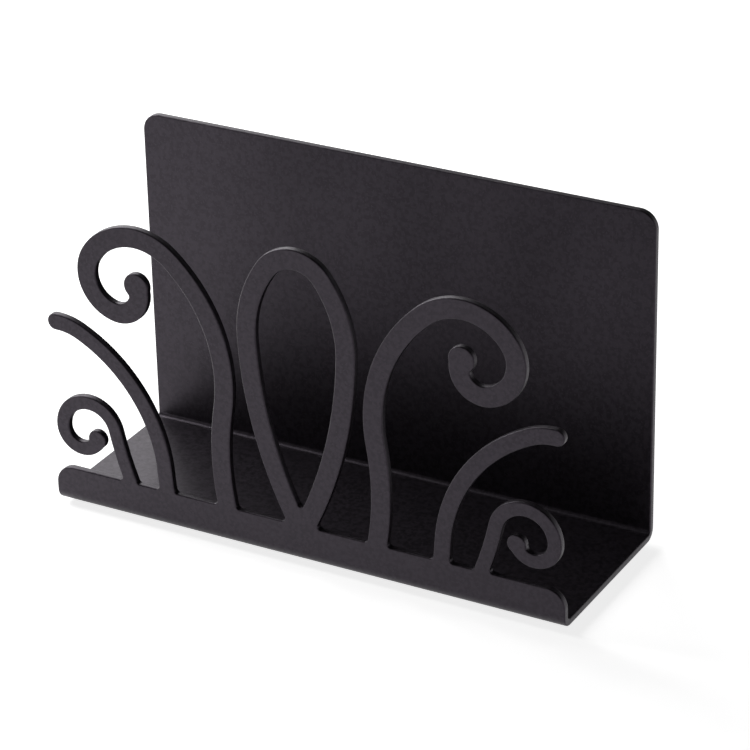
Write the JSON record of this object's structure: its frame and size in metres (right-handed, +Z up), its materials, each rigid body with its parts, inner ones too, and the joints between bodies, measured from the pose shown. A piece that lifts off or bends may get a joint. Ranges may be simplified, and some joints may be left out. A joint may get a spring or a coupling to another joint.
{
  "type": "letter holder",
  "caption": "Free-standing desk letter holder bent from one sheet of black steel, with a tall plain back, a low front lip and open scrollwork.",
  "frame": {"origin": "on the desk, under the middle of the holder's width and depth", "axes": "+X to the right along the width as seen from the front, +Y from the front to the back, +Z up"},
  "size_m": [0.228, 0.08, 0.143],
  "materials": {
    "powder_coated_steel": "satin black powder coat with a fine grain",
    "foot_rubber": "matt black rubber",
    "foot_adhesive": "cloudy acrylic adhesive"
  },
  "bodies": {
    "root": {"steel_sheet": "powder_coated_steel", "foot_front_left": "foot_rubber", "foot_front_right": "foot_rubber", "foot_rear_left": "foot_rubber", "foot_rear_right": "foot_rubber", "adhesive_front_left": "foot_adhesive", "adhesive_front_right": "foot_adhesive", "adhesive_rear_left": "foot_adhesive", "adhesive_rear_right": "foot_adhesive"}
  },
  "joints": []
}
